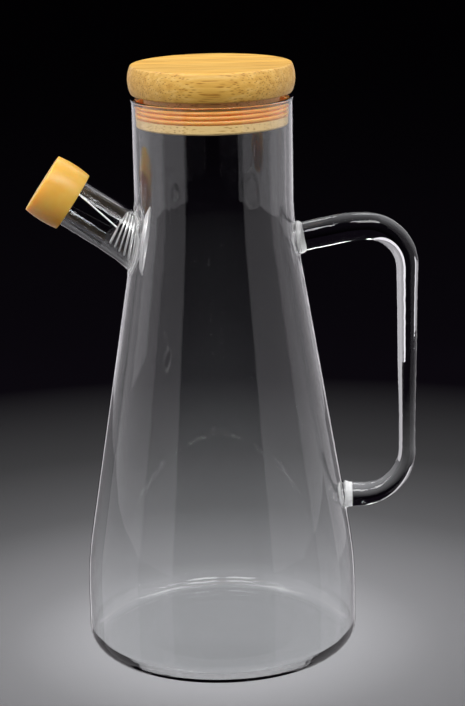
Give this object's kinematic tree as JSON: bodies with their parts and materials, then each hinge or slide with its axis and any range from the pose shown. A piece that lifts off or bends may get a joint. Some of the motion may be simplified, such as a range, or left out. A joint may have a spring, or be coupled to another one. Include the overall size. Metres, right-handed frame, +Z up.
{
  "type": "oil bottle",
  "caption": "Conical clear glass bottle for cooking oil with a side spout, a coiled wire strainer, a looped rod handle, a soft spout cap and a bamboo stopper.",
  "frame": {"origin": "centre of the bottle's round foot, on the surface that it stands on", "axes": "+Z up along the bottle's axis, +X towards the handle, -X towards the spout"},
  "size_m": [0.141, 0.1, 0.2166],
  "materials": {
    "glass": "clear, smooth, fire polished",
    "bamboo": "fine straight grain, satin",
    "silicone": "translucent peach orange, soft sheen",
    "wire": "drawn wire, bright"
  },
  "bodies": {
    "root": {"glass_bottle": "glass", "bamboo_stopper": "bamboo", "seal_ring": "silicone", "spout_cap": "silicone", "strainer_spring": "wire"}
  },
  "joints": []
}
